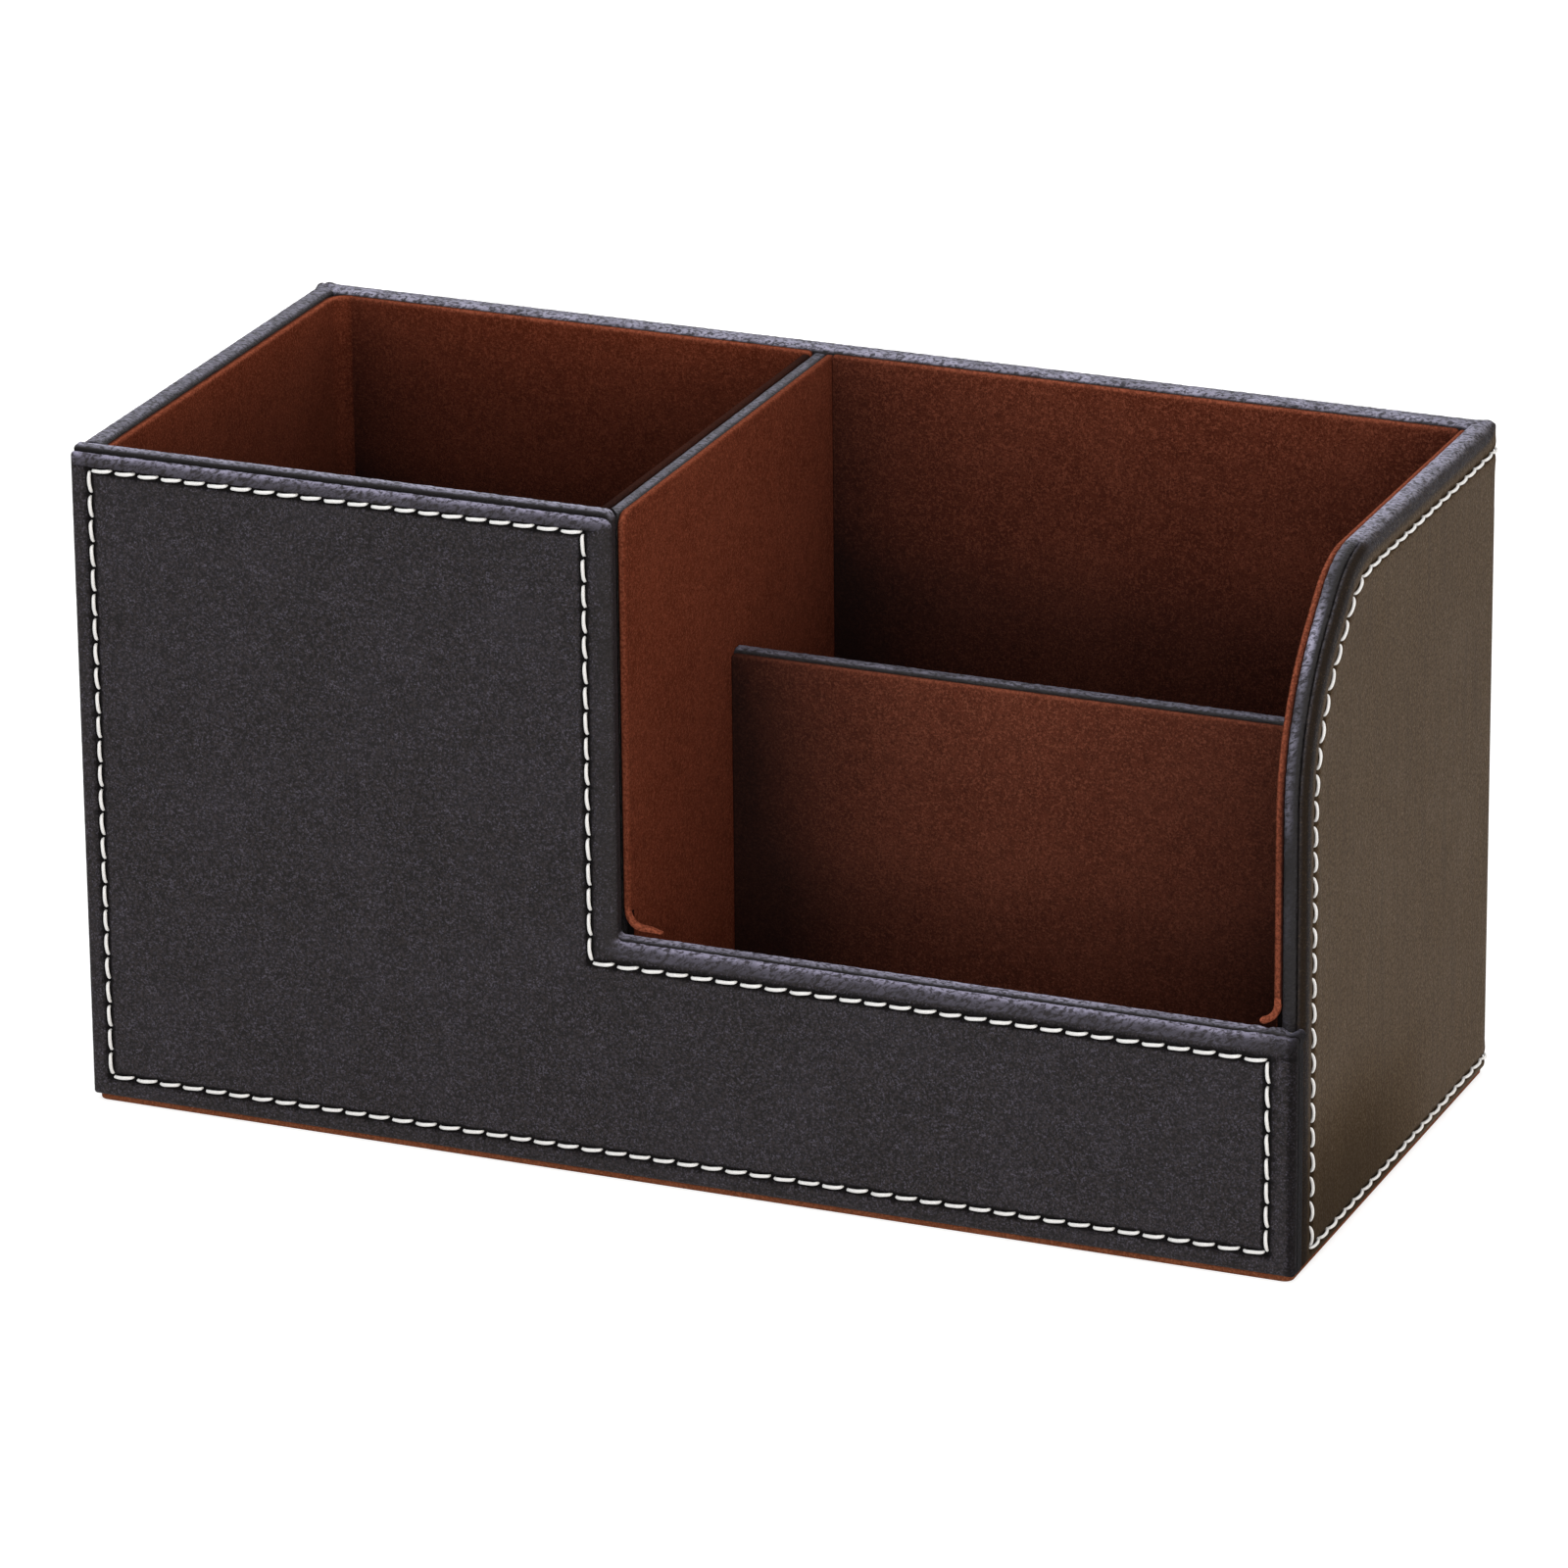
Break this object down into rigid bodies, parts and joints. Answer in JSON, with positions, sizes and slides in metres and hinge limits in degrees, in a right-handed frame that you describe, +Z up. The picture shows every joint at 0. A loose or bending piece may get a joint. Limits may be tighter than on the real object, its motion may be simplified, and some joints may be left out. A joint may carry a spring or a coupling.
{
  "type": "pen holder",
  "caption": "Faux-leather desk organizer with a tall pen compartment, a rear card slot and a low open front bin, stitched outside and suede-lined inside.",
  "frame": {"origin": "middle of the underside of the felt pad, on the table", "axes": "+X along the width from the tall pen compartment to the curved right wall, +Y from the stepped front to the back wall, +Z up"},
  "size_m": [0.2, 0.091, 0.108],
  "materials": {
    "front_leather": "charcoal-brown pebble grain, satin",
    "side_leather": "olive-brown fine grain, satin",
    "rim_leather": "near-black, creased, satin sheen",
    "suede": "red-brown suede nap",
    "felt": "brown felt",
    "board": "grey board",
    "thread": "off-white sewing thread"
  },
  "bodies": {
    "root": {"base_pad": "felt", "base_board": "board", "front_board": "board", "front_board_wrap": "rim_leather", "front_cover": "front_leather", "left_board": "board", "left_board_wrap": "rim_leather", "back_board": "board", "back_board_wrap": "rim_leather", "right_board": "board", "right_board_wrap": "rim_leather", "side_back_cover": "side_leather", "pen_divider_board": "board", "pen_divider_wrap": "rim_leather", "slot_divider_board": "board", "slot_divider_wrap": "rim_leather", "pen_side_back_lining": "suede", "pen_front_lining": "suede", "pen_right_lining": "suede", "pen_floor_lining": "suede", "tray_left_lining": "suede", "tray_right_lining": "suede", "slot_back_lining": "suede", "slot_front_lining": "suede", "slot_floor_lining": "suede", "bin_back_lining": "suede", "bin_front_lining": "suede", "bin_floor_lining": "suede"}
  },
  "joints": []
}
